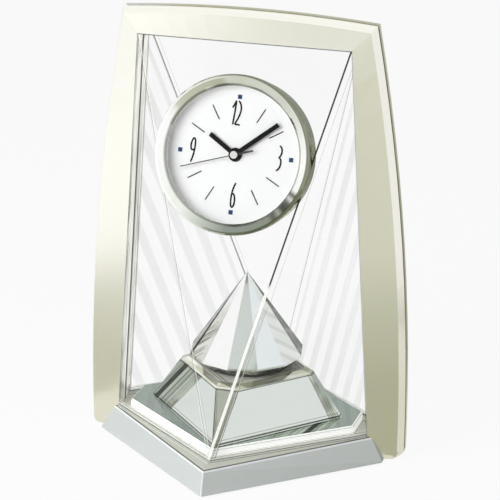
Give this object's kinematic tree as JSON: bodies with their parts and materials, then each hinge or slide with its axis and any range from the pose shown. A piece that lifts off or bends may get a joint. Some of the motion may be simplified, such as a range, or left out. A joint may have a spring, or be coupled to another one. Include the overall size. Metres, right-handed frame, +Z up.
{
  "type": "table clock",
  "caption": "Glass double-wedge table clock in an arched metal frame, with a drum clock in its front pane and a turning faceted crystal on a mirror pedestal.",
  "frame": {"origin": "centre of the clock's outline on the table it stands on, under the middle of the frame", "axes": "+Z up from the table, +Y to the back of the clock, so its dial looks towards -Y, +X to the clock's right as seen from the front"},
  "size_m": [0.1722, 0.16, 0.2342],
  "materials": {
    "silver_plastic": "satin silver",
    "black_plastic": "fine texture",
    "dark_plastic": "satin",
    "white_plastic": "satin",
    "gear_plastic": "moulded",
    "screw_steel": "zinc plated",
    "motor_steel": "plated",
    "contact_metal": "plated",
    "rubber": "matt",
    "grey_trim": "satin",
    "mirror": "mirror",
    "cell_jacket": "printed sleeve, plain",
    "brass": "turned",
    "crystal": "cut and polished",
    "frame_metal": "satin champagne",
    "strip_dark": "matt",
    "glass": "clear",
    "frosted_glass": "clear with frosted stripes",
    "drum_metal": "satin",
    "bezel_metal": "satin chrome",
    "dial_white": "matt white",
    "mark_print": "printed blue and black",
    "numeral_print": "printed",
    "hand_black": "satin black",
    "second_grey": "satin grey",
    "board_green": "lacquered",
    "copper": "enamelled wire"
  },
  "bodies": {
    "case": {"base_shell": "silver_plastic", "base_bottom_plate": "black_plastic", "base_screws": "screw_steel", "rubber_feet": "rubber", "glass_seat": "grey_trim", "floor_plate": "mirror", "pedestal": "mirror", "battery_cell": "cell_jacket", "battery_contacts": "contact_metal", "switch_body": "black_plastic", "motor_plate": "dark_plastic", "drive_motor": "motor_steel", "spindle_bush": "brass", "front_frame": "frame_metal", "parting_strip": "strip_dark", "rear_frame": "frame_metal", "frame_screws": "screw_steel", "leg_screws": "screw_steel", "front_centre_pane": "glass", "front_left_pane": "glass", "front_right_pane": "glass", "rear_centre_pane": "glass", "rear_left_pane": "frosted_glass", "rear_right_pane": "frosted_glass", "hole_sleeve": "grey_trim"},
    "drum": {"drum_case": "drum_metal", "bezel": "bezel_metal", "dial_glass": "glass", "dial_ring": "white_plastic", "dial_plate": "dial_white", "dial_marks": "mark_print", "dial_numerals": "numeral_print", "movement_front": "black_plastic", "movement_back": "black_plastic", "circuit_board": "board_green", "stepping_coil": "copper", "movement_cell": "cell_jacket", "back_cover": "black_plastic", "back_cover_screws": "screw_steel"},
    "turntable": {"drive_gear": "gear_plastic", "spindle": "contact_metal", "turntable": "dark_plastic", "crystal": "crystal"},
    "motor_rotor": {"motor_pinion": "gear_plastic"},
    "minute_train": {"minute_hand": "hand_black", "cannon_pinion": "brass"},
    "hour_train": {"hour_hand": "hand_black", "hour_wheel": "gear_plastic"},
    "second_train": {"second_hand": "second_grey", "second_arbor": "contact_metal"},
    "setting_train": {"minute_wheel": "gear_plastic", "setting_knob": "black_plastic"},
    "movement_hatch": {"movement_hatch": "black_plastic"},
    "battery_door": {"battery_door": "black_plastic"},
    "switch_slider": {"switch_slider": "white_plastic"}
  },
  "joints": [
    {"name": "crystal_turn", "type": "hinge", "parent": "case", "child": "turntable", "pos_m": [0, 0, 0.045], "axis": [0, 0, 1], "continuous": true},
    {"name": "motor_turn", "type": "hinge", "parent": "case", "child": "motor_rotor", "pos_m": [0.02347, -0.00499, 0.03], "axis": [0, 0, 1], "continuous": true},
    {"name": "drum_pull", "type": "slide", "parent": "case", "child": "drum", "axis": [0, -0.9639, 0.2661], "range_m": [0, 0.034]},
    {"name": "minute_turn", "type": "hinge", "parent": "drum", "child": "minute_train", "pos_m": [0, -0.02447, 0.1654], "axis": [0, 0.9639, -0.2661], "continuous": true},
    {"name": "hour_turn", "type": "hinge", "parent": "drum", "child": "hour_train", "pos_m": [0, -0.02447, 0.1654], "axis": [0, 0.9639, -0.2661], "continuous": true},
    {"name": "second_turn", "type": "hinge", "parent": "drum", "child": "second_train", "pos_m": [0, -0.02447, 0.1654], "axis": [0, 0.9639, -0.2661], "continuous": true},
    {"name": "setting_turn", "type": "hinge", "parent": "drum", "child": "setting_train", "pos_m": [0, -0.02192, 0.17466], "axis": [0, 0.9639, -0.2661], "continuous": true},
    {"name": "movement_hatch_slide", "type": "slide", "parent": "drum", "child": "movement_hatch", "axis": [0, -0.2661, -0.9639], "range_m": [0, 0.012]},
    {"name": "battery_door_slide", "type": "slide", "parent": "case", "child": "battery_door", "axis": [0, 1, 0], "range_m": [0, 0.018]},
    {"name": "switch_slide", "type": "slide", "parent": "case", "child": "switch_slider", "axis": [1, 0, 0], "range_m": [0, 0.003]}
  ],
  "couplings": [
    {"joint": "motor_turn", "follows": "crystal_turn", "ratio": -4},
    {"joint": "hour_turn", "follows": "minute_turn", "ratio": 0.083333},
    {"joint": "setting_turn", "follows": "minute_turn", "ratio": -0.33333}
  ]
}
